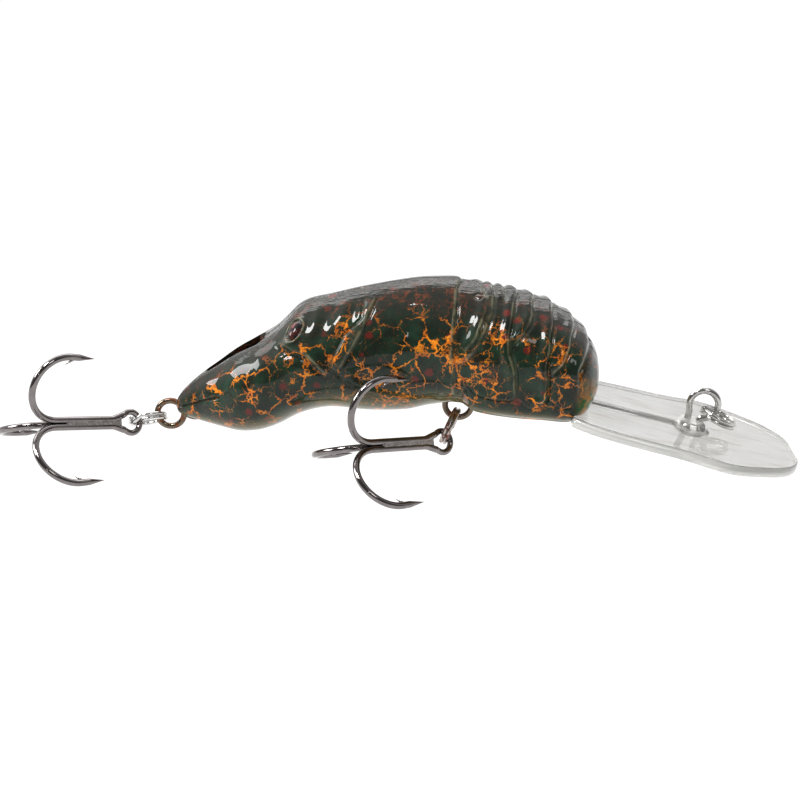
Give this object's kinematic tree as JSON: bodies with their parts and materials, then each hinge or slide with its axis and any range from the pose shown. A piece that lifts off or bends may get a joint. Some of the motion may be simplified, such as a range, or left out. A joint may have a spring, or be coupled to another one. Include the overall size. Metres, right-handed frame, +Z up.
{
  "type": "crankbait lure",
  "caption": "Crayfish-shaped crankbait in two moulded halves with a clear diving lip, wire line tie, split rings, two treble hooks, ballast and a rattle tube.",
  "frame": {"origin": "centre of the line tie's wire loop", "axes": "+X towards the lip's tip, which is the front as it swims; +Z up, towards the back; +Y to the lure's left"},
  "size_m": [0.1151, 0.0341, 0.0286],
  "materials": {
    "body_plastic": "near-black green with an orange crackle, under clear gloss",
    "clear_plastic": "clear polycarbonate, polished",
    "tie_steel": "polished stainless wire",
    "ring_steel": "bright plated spring wire",
    "stained_ring": "bright plated spring wire with overspray",
    "painted_hanger": "stainless wire under brown overspray",
    "hook_black_nickel": "black nickel plate, glossy",
    "hook_braze": "plated braze",
    "ballast_metal": "dull metal",
    "tube_plastic": "translucent tube",
    "ball_steel": "polished steel ball"
  },
  "bodies": {
    "lure_body": {"body_shell_right": "body_plastic", "body_shell_left": "body_plastic", "diving_lip": "clear_plastic", "line_tie_eye": "tie_steel", "tail_hanger_eye": "painted_hanger", "belly_hanger_eye": "painted_hanger", "ballast_slug": "ballast_metal", "rattle_tube": "tube_plastic", "rattle_tube_plug": "tube_plastic"},
    "tie_ring": {"line_tie_split_ring": "ring_steel"},
    "tail_ring": {"tail_split_ring": "ring_steel"},
    "tail_treble": {"tail_treble_double_hook": "hook_black_nickel", "tail_treble_single_hook": "hook_black_nickel", "tail_treble_braze": "hook_braze"},
    "belly_ring": {"belly_split_ring": "stained_ring"},
    "belly_treble": {"belly_treble_double_hook": "hook_black_nickel", "belly_treble_single_hook": "hook_black_nickel", "belly_treble_braze": "hook_braze"},
    "rattle_front": {"rattle_ball_front": "ball_steel"},
    "rattle_rear": {"rattle_ball_rear": "ball_steel"}
  },
  "joints": [
    {"name": "tie_ring_swing", "type": "hinge", "parent": "lure_body", "child": "tie_ring", "pos_m": [-0.00019, 0, -0.00073], "axis": [0, 1, 0], "range_deg": [-195, 10]},
    {"name": "tail_ring_swing", "type": "hinge", "parent": "lure_body", "child": "tail_ring", "pos_m": [-0.0776, 0, -0.0019], "axis": [0, 1, 0], "range_deg": [-70, 55]},
    {"name": "tail_treble_swing", "type": "hinge", "parent": "tail_ring", "child": "tail_treble", "pos_m": [-0.08316, -0.00036, -0.00295], "axis": [0.6868, -0.6399, 0.3447], "range_deg": [-90, 90]},
    {"name": "belly_ring_swing", "type": "hinge", "parent": "lure_body", "child": "belly_ring", "pos_m": [-0.0362, 0, -0.0006], "axis": [0, 1, 0], "range_deg": [-85, 0]},
    {"name": "belly_treble_swing", "type": "hinge", "parent": "belly_ring", "child": "belly_treble", "pos_m": [-0.03787, -0.00331, -0.00471], "axis": [0.626, -0.6866, 0.3699], "range_deg": [0, 100]},
    {"name": "rattle_front_slide", "type": "slide", "parent": "lure_body", "child": "rattle_front", "axis": [1, 0, 0], "range_m": [-0.00145, 0.00145]},
    {"name": "rattle_rear_slide", "type": "slide", "parent": "lure_body", "child": "rattle_rear", "axis": [1, 0, 0], "range_m": [-0.00145, 0.00145]}
  ]
}
